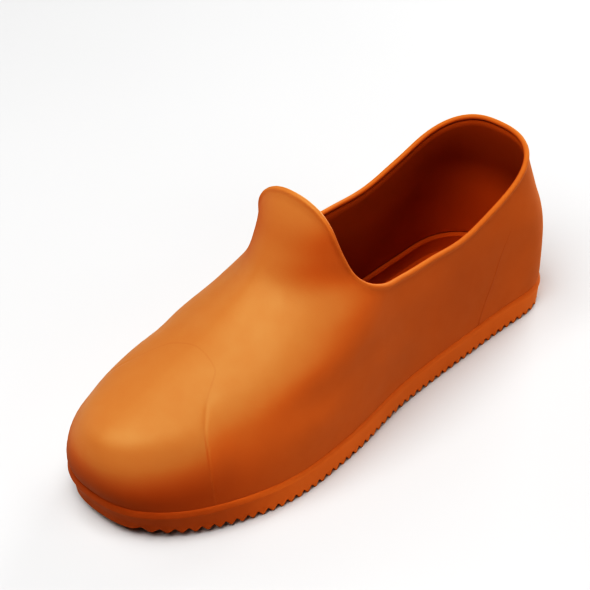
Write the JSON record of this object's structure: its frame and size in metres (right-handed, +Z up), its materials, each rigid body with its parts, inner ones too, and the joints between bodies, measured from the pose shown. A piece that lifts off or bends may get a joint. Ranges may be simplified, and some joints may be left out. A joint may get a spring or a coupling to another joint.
{
  "type": "overshoe",
  "caption": "Low slip-on rubber overshoe: a hollow moulded upper with a raised throat flap and beaded collar, closed underneath by a ribbed outsole, worn over a shoe to keep it dry.",
  "frame": {"origin": "middle of the overall box, on the floor plane that the rib crests stand on", "axes": "+Z up, toe towards -Y, heel towards +Y, outer side of the left foot towards +X"},
  "size_m": [0.0983, 0.2852, 0.1239],
  "materials": {
    "upper_rubber": "satin moulded rubber",
    "sole_rubber": "satin moulded rubber"
  },
  "bodies": {
    "root": {"upper": "upper_rubber", "outsole": "sole_rubber"}
  },
  "joints": []
}
